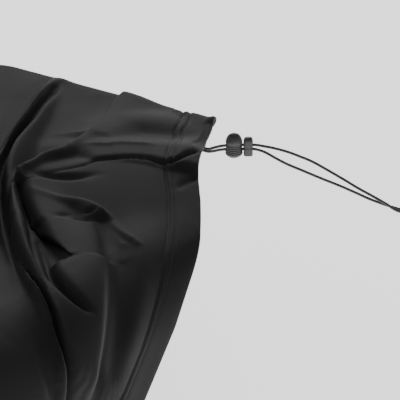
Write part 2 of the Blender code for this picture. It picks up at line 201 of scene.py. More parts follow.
def strand(name, route):
    """A round tube on the route, rolled up from a flat grid, and its line of points."""
    knot = np.array(KNOT_CENTRE)
    last = np.array(route[-1]) - knot
    last *= (KNOT_RADIUS + KNOT_CLEARANCE) / np.linalg.norm(last)
    line = evenly(through((*route[:-1], knot + last), ROUTE_SPACING), CORD_RINGS)
    heading = np.gradient(line, axis=0)
    heading /= np.linalg.norm(heading, axis=1)[:, None]
    across = np.cross(heading, (0.0, 0.0, 1.0))
    across /= np.linalg.norm(across, axis=1)[:, None]
    over = np.cross(across, heading)
    bpy.ops.mesh.primitive_grid_add(
        x_subdivisions=CORD_SIDES, y_subdivisions=CORD_RINGS - 1, size=2.0
    )
    tube = bpy.context.object
    tube.name = name
    tube.data.name = name
    flat = np.array([v.co[:2] for v in tube.data.vertices])
    turn = (flat[:, 0] + 1.0) * math.pi
    ring = np.rint((flat[:, 1] + 1.0) / 2 * (CORD_RINGS - 1)).astype(int)
    spots = line[ring] + CORD_RADIUS * (
        np.cos(turn)[:, None] * across[ring] - np.sin(turn)[:, None] * over[ring]
    )
    tube.data.vertices.foreach_set("co", world(spots).ravel())
    length = np.linalg.norm(np.diff(line, axis=0), axis=1).sum() * MM
    uv = tube.data.uv_layers[0]
    uv.name = "along"
    for corner_uv in uv.data:
        corner_uv.uv.y *= length
    bpy.ops.object.mode_set(mode="EDIT")
    bpy.ops.mesh.select_all(action="SELECT")
    bpy.ops.mesh.remove_doubles(threshold=SEAM_MERGE * MM)
    bpy.ops.mesh.select_all(action="DESELECT")
    bpy.ops.mesh.select_non_manifold()
    bpy.ops.mesh.edge_face_add()
    bpy.ops.mesh.select_all(action="SELECT")
    bpy.ops.mesh.normals_make_consistent(inside=False)
    bpy.ops.object.mode_set(mode="OBJECT")
    bpy.ops.object.shade_smooth()
    tube.data.materials.append(braid)
    tube.select_set(False)
    return tube, line, length


braid = braid_finish()
upper, upper_line, upper_length = strand("drawcord_upper", UPPER_ROUTE)
lower, lower_line, lower_length = strand("drawcord_lower", LOWER_ROUTE)

# ---------------------------------------------------------------------------
# Cover. One sheet of fine black stretch knit over the top. The near corner at its far
# end is pushed back, so that the spare cloth stands in folds round one pinch. Its edge
# is turned under all round as a casing for the drawcord.
# ---------------------------------------------------------------------------
CORNER_RADIUS = 40.0
TINY = 1e-6
CLOTH = 1.0
OUTER_FACE = 0.5
LOWEST = 0.9
SIDE_DROP = 160.0
NEAR_DROP = 172.0
CASING = 28.0
TURNING = 2.2
ROLL = 1.4
PUFF = 1.6
PUFF_FULLNESS = 0.5
STITCH_ROWS = (28.0, 22.0)
GROOVE = 1.2
CASING_SPAN = (-260.0, -150.0)
CASING_TENSION = (0.25, 1.0)
GROOVE_WIDTH = 1.2
# How softly one fold runs into the next, and how finely fold and hem lines are sampled.
BLEND = 1.6
FOLD_SPACING = 2.0
HEM_SPACING = 4.0
# On the near side the drawcord holds the hem in, so the folds die out towards it.
HEM_HOLD = (10.0, 60.0)
HOLD_SPAN = (-290.0, -210.0)
COLUMN_PITCH = 0.62
COURSE_PITCH = 0.5
LOOP_SLANT = 1.2
CLOUD_SCALE = 26.0
MIDDLE_ROWS = 215
ABOVE_CASING = 4.0
KEPT_FACES = 95000
# How a side hangs: distance past the top edge, and how steeply the cloth falls there.
PLAIN_SIDE = ((-4, 0), (7, 86), (110, 90), (138, 92), (148, 128), (400, 128))
NEAR_SIDE = ((-12, 0), (16, 63), (104, 63), (118, 90), (146, 93), (158, 128), (400, 128))
LOOSE_SIDE = ((-46, 0), (50, 63), (104, 63), (118, 90), (146, 93), (158, 128), (400, 128))
HANG_START = -60.0
HANG_END = 400.0
HANG_STEP = 1.0
# Where along the near edge the cloth stands off and bends loosely.
LOOSE_SPAN = (-620.0, -500.0, -310.0, -170.0)
# The hem on the near side, from the far end to the other end.
HEM = (
    (220, 372), (150, 312), (100, 262), (45, 196), (8, 153), (-18, 136), (-46, 122), (-64, 111),
    (-123, 76), (-153, 54), (-171, 40), (-208, 14), (-233, -2), (-267, -22), (-320, -53),
    (-369, -82), (-424, -114), (-476, -142), (-530, -163), (-582, -NEAR_DROP), (-700, -NEAR_DROP),
    (-1600, -NEAR_DROP),
)
# A place is found from where it is seen in this many steps, each this share of the way.
SEEN_STEPS = 12
SEEN_SHARE = 0.8
POINTS_AT_ONCE = 20000
# A fold: width of its back flank, and of its near flank at its start and end, how full each
# flank is, how far its crest leans to the back, over what length it rises and fades, and its
# crest: across and down the picture, and height over the top.
FOLDS = {
    "bed": (46, 110, 110, 2.0, 2.0, 0, 40, 80, (
        (216, 150, 8), (196, 154, 12), (178, 156, 16), (150, 158, 18), (110, 161, 19),
        (64, 166, 19), (30, 170, 17), (10, 172, 8), (-15, 176, 3), (-80, 185, 1),
        (-150, 194, 1),
    )),
    "top ridge": (11, 9, 44, 2.6, 2.1, 3, 14, 60, (
        (80, 79, 0.5), (68, 78, 3), (58, 79, 7), (48, 87, 12), (38.5, 98.5, 15.5),
        (29, 112, 18), (21, 123.5, 20), (14, 137, 22), (6, 150, 24), (-9, 174, 26),
        (-38, 216, 25), (-90, 290, 16), (-150, 370, 8),
    )),
    "lip": (3.4, 50, 8, 2.4, 2.2, 4, 20, 4, (
        (150, 78, 8), (136, 84, 8.5), (125, 92, 9), (118, 100, 10.5), (110, 112, 13.5),
        (95.6, 127, 18), (77.6, 140.6, 21.5), (64.2, 147, 22.5), (48.3, 152, 23), (38.7, 158, 23),
        (30, 163.4, 23), (25, 167.4, 23), (21, 170, 23),
    )),
    "flipped panel": (46, 46, 26, 2.0, 2.0, 0, 50, 30, (
        (230, 128, 2.4), (204, 127, 5), (174, 122, 11.6), (140, 118, 14), (122, 122, 15),
        (104, 132, 18), (86, 141, 19),
    )),
    "second crest": (58, 40, 34, 1.8, 10.0, 0, 60, 56, (
        (250, 148, 20), (226, 149, 22), (204, 149, 23), (186, 149, 23), (170, 147, 22.5),
        (150, 145, 22), (118, 144, 21.5), (95, 145, 21), (80, 146.5, 21), (64, 150, 21),
        (38, 157, 20),
    )),
    "crest line": (7, 12, 9, 1.6, 2.0, 1, 40, 40, (
        (186, 149, 22.9), (165, 146.5, 22.4), (150, 143, 22.2), (118, 141.5, 21.9),
        (110, 143, 21.8), (95, 142.5, 21.8), (80, 142.5, 21.9), (60, 149, 21.7),
    )),
    "hem flare": (6, 14, 14, 2.0, 2.0, 0, 4, 12, (
        (226, 109, 8), (216, 114, 7.4), (210, 119, 6), (205, 126, 4.6),
    )),
    "broad fold": (20, 12, 7, 2.0, 2.0, 1, 4, 30, (
        (25, 172, 20), (38, 185.5, 19), (60, 193, 18.5), (85, 197, 18.5), (99, 203, 18.5),
        (109, 212, 18.5), (125, 225, 17.5), (140, 237, 15.5), (158, 251, 12),
    )),
    "quad edge": (2.4, 46, 46, 4.0, 4.0, 6, 6, 8, (
        (25, 175, 20), (31, 189, 19), (37, 206, 18.5), (42, 220, 18), (52, 229, 17.5),
        (68, 245, 16.5), (78, 256, 15),
    )),
    "strip": (5.4, 6.0, 12, 5.0, 5.0, 1, 6, 60, (
        (34, 161, 18), (26, 166, 22), (20.5, 175, 25.5), (18.5, 186, 27), (18.5, 204, 27),
        (20.5, 223, 27), (26, 245, 26), (40, 277, 25), (54, 304, 23), (62, 330, 21), (68, 360, 20),
        (75, 399, 17), (80, 430, 16),
    )),
    "middle panel": (62, 11, 12, 3.2, 2.0, -3, 10, 60, (
        (90, 215, 14.5), (96, 228, 15.5), (100, 246, 16.5), (102, 270, 18.5), (103, 300, 20.5),
        (102, 330, 21), (98, 360, 19), (92, 399, 17), (88, 430, 14),
    )),
    "skirt": (26, 40, 48, 2.0, 2.0, 0, 110, 60, (
        (166, 170, 3), (150, 195, 6), (138, 222, 8), (130, 250, 11), (126, 290, 13),
        (122, 330, 14), (114, 380, 13), (106, 430, 12),
    )),
    "left panel": (80, 15, 15, 2.0, 3.0, 0, 120, 40, (
        (-36, 180, 1), (-22, 212, 1), (-12, 238, 2), (-2, 262, 4), (8, 285, 7), (22, 318, 10),
        (34, 350, 12), (44, 380, 12), (52, 415, 11), (62, 450, 10), (72, 490, 10),
    )),
}
# A furrow: its width and fullness, over what length it sinks at each end, and its line:
# across and down the picture, and the height of its floor.
FURROWS = {
    "valley": (4.4, 1.8, 30, 60, (
        (70, 84, 1), (62, 86, 1), (52, 98, 1), (41, 112, 1), (31, 129, 1), (20.5, 144, 1),
        (11, 161, 0), (5.5, 179, 0), (4, 200, 0), (5, 225, 0), (10, 250, 1), (22, 280, 4),
    )),
    "corner seam": (1.8, 1.2, 20, 6, (
        (203, 155, 14), (188, 163, 14), (176, 168.7, 14), (163.6, 167.9, 15), (151, 163.7, 16),
        (134.6, 161.7, 16), (113, 162, 16), (95.5, 163.5, 16), (83.3, 168, 16), (61, 172.5, 16),
        (45.7, 173.5, 17), (27, 170.8, 19),
    )),
    "pocket": (5, 1.8, 40, 4, (
        (112, 174, 16), (92, 179, 14), (78, 181.5, 13), (61, 181, 13), (48, 179, 13.5),
        (37, 175.5, 16), (27, 172, 20),
    )),
    "under line": (3.2, 1.5, 20, 8, (
        (60, 220.4, 13.6), (72, 217.4, 12.4), (88.4, 214.4, 11.4), (102.5, 214.6, 10.4),
    )),
    "under diagonal": (5, 1.6, 16, 34, (
        (97, 213, 12), (104, 218, 10), (114, 227, 9.5), (126, 237, 9.5), (138, 246, 10),
        (152, 256, 11),
    )),
    "hollow": (7.5, 2.2, 16, 10, (
        (25, 181, 11), (26, 192, 8), (28, 206, 6), (33, 221, 5), (41, 237, 5), (51, 255, 5),
        (58, 268, 7),
    )),
    "beside strip": (4.4, 1.8, 16, 20, (
        (38, 240, 4), (46, 266, 3), (52, 283, 4),
        (64, 298, 6), (78, 309.7, 9), (93, 316, 12),
    )),
    "left of strip": (2.6, 1.3, 30, 30, (
        (12, 240, 7), (20, 260, 7), (33, 284, 6), (48, 314, 5), (54, 340, 4), (60.5, 366, 3),
        (67, 399, 3), (73, 430, 3),
    )),
    "right of middle": (14, 1.8, 10, 40, (
        (104, 217, 9), (112, 234, 6), (118, 256, 3.5), (120, 285, 3.5), (119, 315, 5),
        (116, 340, 7), (111, 370, 8), (106, 400, 8),
    )),
    "soft crease above": (5, 1.6, 18, 24, (
        (116, 176, 16.6), (128, 186, 16.2), (140, 193, 15.2), (152, 197, 14.4),
    )),
    "soft crease at hem": (4, 1.6, 10, 10, (
        (176, 194, 10.8), (184, 188, 10.2), (192, 184, 9.4), (199, 182, 7.4),
    )),
    "soft crease below": (6, 1.6, 22, 22, (
        (134, 262, 9.6), (146, 268, 8.6), (156, 271, 8), (168, 271, 7),
    )),
}


def ease(t):
    """From 0 to 1 and level at both ends."""
    t = np.clip(t, 0.0, 1.0)
    return t * t * (3.0 - 2.0 * t)


def hang(turns, distance):
    """How far out and down a side is at this distance past the top edge, and its slope there."""
    marks = np.arange(HANG_START, HANG_END, HANG_STEP)
    slopes = np.radians(np.interp(marks, *np.array(turns, float).T))
    out = np.cumsum(np.cos(slopes)) * HANG_STEP - HANG_STEP + HANG_START
    down = np.cumsum(np.sin(slopes)) * HANG_STEP
    return [np.interp(distance, marks, values) for values in (out, down, slopes)]


def wrapped(x, y, height):
    """Layout points laid over the top and down its sides."""
    inner_x = np.clip(x, -TOP_LENGTH + CORNER_RADIUS, -CORNER_RADIUS)
    inner_y = np.clip(y, CORNER_RADIUS, TOP_DEPTH - CORNER_RADIUS)
    over_x = x - inner_x
    over_y = y - inner_y
    far = np.hypot(over_x, over_y)
    beyond = far > TINY
    unit_x = np.divide(over_x, far, out=np.zeros_like(far), where=beyond)
    unit_y = np.divide(over_y, far, out=np.zeros_like(far), where=beyond)
    past = np.maximum(np.abs(over_x), np.abs(over_y)) - CORNER_RADIUS
    near_share = np.clip(-unit_y, 0.0, 1.0) ** 2
    plain = hang(PLAIN_SIDE, past)
    sloped = hang(NEAR_SIDE, past)
    loose = hang(LOOSE_SIDE, past)
    loose_share = np.interp(x, LOOSE_SPAN, (0.0, 1.0, 1.0, 0.0))
    sloped = [n + (l - n) * loose_share for n, l in zip(sloped, loose)]
    out, down, slope = (p + (s - p) * near_share for p, s in zip(plain, sloped))
    reach = np.where(beyond, CORNER_RADIUS + out + height * np.sin(slope), 0.0)
    return np.column_stack(
        [inner_x + unit_x * reach, inner_y + unit_y * reach, height * np.cos(slope) - down]
    )


def laid(place, height):
    """Layout places laid over the top and down its near side only."""
    kept_x = np.minimum(place[:, 0], -CORNER_RADIUS)
    kept_y = np.minimum(place[:, 1], TOP_DEPTH - CORNER_RADIUS)
    level = np.column_stack([place[:, 0] - kept_x, place[:, 1] - kept_y, np.zeros_like(kept_x)])
    return wrapped(kept_x, kept_y, height) + level


def seen(points):
    """Layout places of points seen across and down the picture, at a height over the top."""
    across, down, height = np.array(points, float).T
    to_picture = np.array([right, -up]).T * PIXELS_PER_MM
    target = np.column_stack([across - CORNER_ACROSS, down - CORNER_DOWN])
    place = np.linalg.solve(to_picture[:2].T, (target - height[:, None] * to_picture[2]).T).T
    for _ in range(SEEN_STEPS):
        here = laid(place, height) @ to_picture
        slope = [laid(place + step, height) @ to_picture - here for step in np.eye(2)]
        move = np.linalg.solve(np.stack(slope, axis=2), (target - here)[:, :, None])
        place = place + SEEN_SHARE * move[:, :, 0]
    return np.column_stack([place, height])


def beside(x, y, line):
    """Each point's distance from the line, positive behind it, and what the line has there."""
    run = np.concatenate([[0.0], np.cumsum(np.linalg.norm(np.diff(line[:, :2], axis=0), axis=1))])
    heading = np.gradient(line[:, :2], axis=0)
    heading /= np.linalg.norm(heading, axis=1)[:, None]
    near = np.empty(len(x), int)
    for start in range(0, len(x), POINTS_AT_ONCE):
        part = slice(start, start + POINTS_AT_ONCE)
        away = (x[part, None] - line[:, 0]) ** 2 + (y[part, None] - line[:, 1]) ** 2
        near[part] = away.argmin(axis=1)
    offset_x, offset_y = x - line[near, 0], y - line[near, 1]
    side = heading[near, 1] * offset_x - heading[near, 0] * offset_y
    distance = np.hypot(offset_x, offset_y) * np.where(side >= 0, 1.0, -1.0)
    return distance, run[near], run[-1], heading[near], line[near, 2]


def hem_at(x):
    """The near hem's y at this x, and how much longer a step square to it is along y."""
    line = through([(a, b, 0) for a, b in HEM], HEM_SPACING)
    y = np.interp(-x, -line[:, 0], line[:, 1])
    slant = np.interp(-x, -line[:, 0], np.gradient(line[:, 1], line[:, 0]))
    return y, np.hypot(1.0, slant)


def folded(x, y):
    """The layout moved by its folds, and the height of the cloth over its bed."""
    height = np.full_like(x, LOWEST)
    shift_x = np.zeros_like(x)
    shift_y = np.zeros_like(y)
    for back, near, near_end, back_full, near_full, lean, rise, fade, crest in FOLDS.values():
        across, along, whole, heading, tall = beside(x, y, through(seen(crest), FOLD_SPACING))
        near = near + (near_end - near) * along / whole
        back_flank = np.exp(-np.abs(across / back) ** back_full)
        near_flank = np.exp(-np.abs(across / near) ** near_full)
        shape = np.where(across >= 0, back_flank, near_flank)
        shape *= ease(along / rise) * ease((whole - along) / fade)
        height = np.logaddexp(height / BLEND, tall * shape / BLEND) * BLEND
        shift_x += lean * shape * heading[:, 1]
        shift_y -= lean * shape * heading[:, 0]
    height -= LOWEST
    for width, full, start, end, route in FURROWS.values():
        across, along, whole, heading, floor = beside(x, y, through(seen(route), FOLD_SPACING))
        shape = np.exp(-np.abs(across / width) ** full)
        shape *= ease(along / start) * ease((whole - along) / end)
        height += np.minimum(floor - height, 0.0) * shape
    near, stretch = hem_at(x)
    held = ease(((y - near) / stretch + HEM_HOLD[0]) / HEM_HOLD[1])
    held = held + (1.0 - held) * np.interp(x, HOLD_SPAN, (0.0, 1.0))
    return x + shift_x, y + shift_y, LOWEST + np.maximum(height - LOWEST, 0.0) * held


def spaced(*marks):
    """Places from the first mark to the last, each with the spacing up to the next mark."""
    runs = [
        np.linspace(a, b, max(1, round(abs(b - a) / gap)), endpoint=False)
        for (a, gap), (b, _) in zip(marks, marks[1:])
    ]
    return np.concatenate([*runs, [marks[-1][0]]])


def cased(x, y, turned_under):
    """Height that the casing adds: it stands proud of its stitching and rolls under at the hem."""
    near, stretch = hem_at(x)
    inside = np.minimum.reduce([
        SIDE_DROP - x, x + TOP_LENGTH + SIDE_DROP, TOP_DEPTH + SIDE_DROP - y, (y - near) / stretch,
    ])
    inside = np.maximum(inside, 0.0)
    share = inside / CASING
    rise = PUFF * np.clip(share * (1 - share) * 4, 0, 1) ** PUFF_FULLNESS
    tension = np.interp(x, CASING_SPAN, CASING_TENSION)
    for row in STITCH_ROWS:
        rise = rise - GROOVE * tension * np.exp(-((inside - row) / GROOVE_WIDTH) ** 2)
    roll = np.sqrt(1.0 - (1.0 - np.clip(inside / ROLL, 0, 1)) ** 2)
    return rise - TURNING / 2 * np.where(turned_under, 1.0 + roll, 1.0 - roll)


def cloth_at(x, y, turned_under=False):
    """The outer face of the cloth, as a place in the layout."""
    over_x, over_y, height = folded(x, y)
    return wrapped(over_x, over_y, height + OUTER_FACE + cased(x, y, turned_under))


def knit_finish():
    """Fine black stretch knit: columns of small loops, a faint cloudiness and a dull sheen."""
    finish = bpy.data.materials.new("black stretch knit")
    finish.use_nodes = True
    nodes, links = finish.node_tree.nodes, finish.node_tree.links
    shader = nodes["Principled BSDF"]
    shader.inputs["Specular IOR Level"].default_value = 0.35
    shader.inputs["Sheen Weight"].default_value = 0.02
    shader.inputs["Sheen Roughness"].default_value = 0.4
    cut = nodes.new("ShaderNodeUVMap")
    cut.uv_map = "cut"
    split = nodes.new("ShaderNodeSeparateXYZ")
    links.new(cut.outputs["UV"], split.inputs["Vector"])
    column = nodes.new("ShaderNodeMath")
    column.operation = "PINGPONG"
    column.inputs[1].default_value = COLUMN_PITCH * MM / 2
    links.new(split.outputs["X"], column.inputs[0])
    leg = nodes.new("ShaderNodeMath")
    leg.operation = "MULTIPLY_ADD"
    leg.inputs[1].default_value = LOOP_SLANT
    links.new(column.outputs["Value"], leg.inputs[0])
    links.new(split.outputs["Y"], leg.inputs[2])
    loop = nodes.new("ShaderNodeMath")
    loop.operation = "PINGPONG"
    loop.inputs[1].default_value = COURSE_PITCH * MM / 2
    links.new(leg.outputs["Value"], loop.inputs[0])
    relief = nodes.new("ShaderNodeMath")
    relief.operation = "MULTIPLY"
    links.new(loop.outputs["Value"], relief.inputs[0])
    links.new(column.outputs["Value"], relief.inputs[1])
    scaled = nodes.new("ShaderNodeMath")
    scaled.operation = "MULTIPLY"
    scaled.inputs[1].default_value = 4.0 / (COLUMN_PITCH * COURSE_PITCH * MM * MM)
    links.new(relief.outputs["Value"], scaled.inputs[0])
    cloud = nodes.new("ShaderNodeTexNoise")
    cloud.inputs["Scale"].default_value = CLOUD_SCALE
    cloud.inputs["Detail"].default_value = 5.0
    links.new(cut.outputs["UV"], cloud.inputs["Vector"])
    tone = nodes.new("ShaderNodeValToRGB")
    tone.color_ramp.elements[0].position = 0.3
    tone.color_ramp.elements[0].color = (0.0145, 0.0145, 0.0148, 1)
    tone.color_ramp.elements[1].position = 0.7
    tone.color_ramp.elements[1].color = (0.0178, 0.0178, 0.0182, 1)
    links.new(cloud.outputs["Fac"], tone.inputs["Fac"])
    links.new(tone.outputs["Color"], shader.inputs["Base Color"])
    wear = nodes.new("ShaderNodeMapRange")
    wear.inputs["To Min"].default_value = 0.58
    wear.inputs["To Max"].default_value = 0.68
    links.new(cloud.outputs["Fac"], wear.inputs["Value"])
    links.new(wear.outputs["Result"], shader.inputs["Roughness"])
    loops = nodes.new("ShaderNodeBump")
    loops.inputs["Strength"].default_value = 0.35
    loops.inputs["Distance"].default_value = 0.08 * MM
    links.new(scaled.outputs["Value"], loops.inputs["Height"])
    links.new(loops.outputs["Normal"], shader.inputs["Normal"])
    return finish


# Lines of the grid, denser at the hem and round the folds; flap is the edge turned under.
flap = spaced((CASING - 2, 3.2), (3.0, 0.6), (0.0, 1))[:-1]
far_x, other_x = SIDE_DROP, -TOP_LENGTH - SIDE_DROP
x_line = np.concatenate([
    far_x - flap,
    spaced((far_x, 0.5), (far_x - 2, 3.5), (40, 2.6), (-150, 2.1), (-480, 3.0), (-620, 18.0),
           (other_x + 2, 0.5), (other_x, 1)),
    other_x + flap[::-1],
])
column_count = len(x_line)
x_under = np.isin(
    np.arange(column_count), [*range(len(flap)), *range(column_count - len(flap), column_count)]
)
back_y = TOP_DEPTH + SIDE_DROP
back_rows = spaced((back_y, 0.5), (back_y - 2, 14.0), (TOP_DEPTH, 1))
middle_shares = np.linspace(0.0, 1.0, MIDDLE_ROWS)[1:-1]
casing_rows = spaced((CASING + ABOVE_CASING, 1.3), (2.0, 0.5), (0.0, 1))
near_y, stretch = hem_at(x_line)
casing_top = near_y + (CASING + ABOVE_CASING) * stretch
y_lines = np.vstack([
    *[np.full_like(x_line, back_y - e) for e in flap],
    *[np.full_like(x_line, y) for y in back_rows],
    *[TOP_DEPTH + (casing_top - TOP_DEPTH) * share for share in middle_shares],
    *[near_y + inside * stretch for inside in casing_rows],
    *[near_y + e * stretch for e in flap[::-1]],
])
row_count = len(y_lines)
y_under = np.isin(
    np.arange(row_count), [*range(len(flap)), *range(row_count - len(flap), row_count)]
)

bpy.ops.mesh.primitive_grid_add(
    x_subdivisions=column_count - 1, y_subdivisions=row_count - 1, size=2.0
)
cover = bpy.context.object
cover.name = "cover_cloth"
cover.data.name = "cover_cloth"
flat = np.array([v.co[:2] for v in cover.data.vertices])
column = np.rint((1.0 - flat[:, 0]) / 2 * (column_count - 1)).astype(int)
row = np.rint((1.0 - flat[:, 1]) / 2 * (row_count - 1)).astype(int)
x_all, y_all = x_line[column], y_lines[row, column]
under_all = x_under[column] | y_under[row]
cover.data.vertices.foreach_set("co", world(cloth_at(x_all, y_all, under_all)).ravel())
cut_places = np.column_stack([x_all, y_all]) * MM
cover.data.uv_layers[0].name = "cut"
corners = np.empty(len(cover.data.loops), int)
cover.data.loops.foreach_get("vertex_index", corners)
cover.data.uv_layers[0].data.foreach_set("uv", cut_places[corners].ravel())
cover.data.update()
fewer = cover.modifiers.new("fewer faces where flat", "DECIMATE")
fewer.ratio = KEPT_FACES / (2 * len(cover.data.polygons))
bpy.ops.object.modifier_apply(modifier=fewer.name)
thick = cover.modifiers.new("cloth's thickness", "SOLIDIFY")
thick.thickness = CLOTH * MM
thick.offset = -1.0
thick.use_even_offset = False
bpy.ops.object.modifier_apply(modifier=thick.name)
bpy.ops.object.shade_smooth()
cover.data.materials.append(knit_finish())
cover.select_set(False)
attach(cover, "root")
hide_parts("cover")

# ---------------------------------------------------------------------------
# Hem stitching. Two rows of black thread hold the turned-under edge all round,
# one stitch after another on the outer face, each sunk at its ends.
# ---------------------------------------------------------------------------
THREAD_RADIUS = 0.3
STITCH_PITCH = 3.4
THREAD_SIDES = 5
THREAD_STEPS = 4
# A stitch's middle stands up and its ends sink, in thread radii.
STITCH_RISE = 1.6
STITCH_SINK = 0.7
ROW_SPACING = 2.0
BACK_POINTS = 200
OTHER_END_POINTS = 120
FAR_END_POINTS = 60
PROBE = 0.5
THREAD_MERGE = 0.005


def row_line(inside):
    """The closed line on the layout that runs this far inside the hem."""
    near_x = spaced((far_x - inside, ROW_SPACING), (other_x + inside, 1))
    near, stretch_there = hem_at(near_x)
    near = near + inside * stretch_there
    back = back_y - inside
    other_end = np.linspace(near[-1], back, OTHER_END_POINTS)
    along_back = np.linspace(near_x[-1], near_x[0], BACK_POINTS)
    far_end = np.linspace(back, near[0], FAR_END_POINTS)
    return np.vstack([
        np.column_stack([near_x, near]),
        np.column_stack([np.full(OTHER_END_POINTS, near_x[-1]), other_end])[1:],
        np.column_stack([along_back, np.full(BACK_POINTS, back)])[1:],
        np.column_stack([np.full(FAR_END_POINTS, near_x[0]), far_end])[1:-1],
    ])


thread_look = bpy.data.materials.new("black thread")
thread_look.use_nodes = True
shader = thread_look.node_tree.nodes["Principled BSDF"]
shader.inputs["Roughness"].default_value = 0.45
shader.inputs["Sheen Weight"].default_value = 0.1
twist = thread_look.node_tree.nodes.new("ShaderNodeTexNoise")
twist.inputs["Scale"].default_value = 900.0
coordinates = thread_look.node_tree.nodes.new("ShaderNodeTexCoord")
twist_tone = thread_look.node_tree.nodes.new("ShaderNodeValToRGB")
twist_tone.color_ramp.elements[0].color = (0.008, 0.008, 0.008, 1)
twist_tone.color_ramp.elements[1].color = (0.026, 0.026, 0.027, 1)
thread_look.node_tree.links.new(coordinates.outputs["Object"], twist.inputs["Vector"])
thread_look.node_tree.links.new(twist.outputs["Fac"], twist_tone.inputs["Fac"])
thread_look.node_tree.links.new(twist_tone.outputs["Color"], shader.inputs["Base Color"])

for number, inside in enumerate(STITCH_ROWS):
    outline = row_line(inside)
    outline = np.vstack([outline, outline[:1]])
    run = np.concatenate([[0.0], np.cumsum(np.linalg.norm(np.diff(outline, axis=0), axis=1))])
    count = round(run[-1] / STITCH_PITCH) * THREAD_STEPS
    marks = np.linspace(0.0, run[-1], count, endpoint=False)
    place_x = np.interp(marks, run, outline[:, 0])
    place_y = np.interp(marks, run, outline[:, 1])
    stitch = np.arange(count) % THREAD_STEPS / THREAD_STEPS
    surface = cloth_at(place_x, place_y)
    beside_x = cloth_at(place_x + PROBE, place_y) - surface
    beside_y = cloth_at(place_x, place_y + PROBE) - surface
    out = np.cross(beside_x, beside_y)
    out /= np.linalg.norm(out, axis=1)[:, None]
    heading = np.roll(surface, -1, axis=0) - np.roll(surface, 1, axis=0)
    heading /= np.linalg.norm(heading, axis=1)[:, None]
    across = np.cross(heading, out)
    lift = STITCH_RISE * np.sin(math.pi * stitch) - STITCH_SINK
    middle = surface + out * (THREAD_RADIUS * lift)[:, None]
    bpy.ops.mesh.primitive_grid_add(x_subdivisions=THREAD_SIDES, y_subdivisions=count, size=2.0)
    thread = bpy.context.object
    thread.name = f"hem_stitching_{number + 1}"
    thread.data.name = thread.name
    flat = np.array([v.co[:2] for v in thread.data.vertices])
    turn = (flat[:, 0] + 1.0) * math.pi
    ring = np.rint((flat[:, 1] + 1.0) / 2 * count).astype(int) % count
    spots = middle[ring] + THREAD_RADIUS * (
        np.cos(turn)[:, None] * across[ring] + np.sin(turn)[:, None] * out[ring]
    )
    thread.data.vertices.foreach_set("co", world(spots).ravel())
    bpy.ops.object.mode_set(mode="EDIT")
    bpy.ops.mesh.select_all(action="SELECT")
    bpy.ops.mesh.remove_doubles(threshold=THREAD_MERGE * MM)
    bpy.ops.mesh.normals_make_consistent(inside=False)
    bpy.ops.object.mode_set(mode="OBJECT")
    bpy.ops.object.shade_smooth()
    thread.data.materials.append(thread_look)
    thread.select_set(False)
    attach(thread, "root")

# ---------------------------------------------------------------------------
# Knot. The ends of both strands are tied together in one tight overhand knot, made of
# the same braided cord.
# ---------------------------------------------------------------------------
KNOT_STEPS = 180
KNOT_TUBE = 1.55
KNOT_LOOP = 2.0
KNOT_SIZE = 1.05
KNOT_DEPTH = 1.7
KNOT_SQUASH = 0.9
KNOT_LENGTH = 40.0
KNOT_MERGE = 0.005
phase = np.linspace(0.0, 2 * math.pi, KNOT_STEPS, endpoint=False)
loop_size = KNOT_LOOP + np.cos(3 * phase)
knot_line = np.column_stack([
    loop_size * np.cos(2 * phase),
    np.sin(3 * phase) * KNOT_DEPTH,
    loop_size * np.sin(2 * phase) * KNOT_SQUASH,
]) * KNOT_SIZE + np.array(KNOT_CENTRE)
heading = np.roll(knot_line, -1, axis=0) - np.roll(knot_line, 1, axis=0)
heading /= np.linalg.norm(heading, axis=1)[:, None]
outward = knot_line - np.array(KNOT_CENTRE)
across = np.cross(heading, outward)
across /= np.linalg.norm(across, axis=1)[:, None]
over = np.cross(across, heading)
bpy.ops.mesh.primitive_grid_add(x_subdivisions=CORD_SIDES, y_subdivisions=KNOT_STEPS, size=2.0)
knot = bpy.context.object
knot.name = "drawcord_knot"
knot.data.name = "drawcord_knot"
flat = np.array([v.co[:2] for v in knot.data.vertices])
turn = (flat[:, 0] + 1.0) * math.pi
ring = np.rint((flat[:, 1] + 1.0) / 2 * KNOT_STEPS).astype(int) % KNOT_STEPS
spots = knot_line[ring] + KNOT_TUBE * (
    np.cos(turn)[:, None] * across[ring] - np.sin(turn)[:, None] * over[ring]
)
knot.data.vertices.foreach_set("co", world(spots).ravel())
knot.data.uv_layers[0].name = "along"
for corner_uv in knot.data.uv_layers[0].data:
    corner_uv.uv.y *= KNOT_LENGTH * MM
bpy.ops.object.mode_set(mode="EDIT")
bpy.ops.mesh.select_all(action="SELECT")
bpy.ops.mesh.remove_doubles(threshold=KNOT_MERGE * MM)
bpy.ops.mesh.normals_make_consistent(inside=False)
bpy.ops.object.mode_set(mode="OBJECT")
bpy.ops.object.shade_smooth()
knot.data.materials.append(braid)
knot.select_set(False)
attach(knot, "root")
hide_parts("cord_knot")

for piece, line, length, node in (
    (upper, upper_line, upper_length, "strand_upper"),
    (lower, lower_line, lower_length, "strand_lower"),
):
    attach(piece, "root")
    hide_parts(node)

# ---------------------------------------------------------------------------
# Cord lock. A moulded black nylon lock stands on the strands: a ribbed barrel, the
# rounded plunger beside it, and a small steel spring that shows at its foot.
# ---------------------------------------------------------------------------
LOCK_CENTRE = (-53.3, 88.0, 0.0)
LOCK_TURN = math.radians(35.0)
FOOT = 1.6
RIBS = 6
RIB_PITCH = 1.7
RIB_DEPTH = 0.5
RIB_START = 1.5
RIBBED_RADIUS = 7.6
RIB_TAPER = 0.06
# One rib: share of its pitch, and share of the groove's depth there.
RIB_SHAPE = ((0.0, 1), (0.18, 0.25), (0.4, 0), (0.65, 0), (0.85, 0.3))
BARREL_STEPS = 56
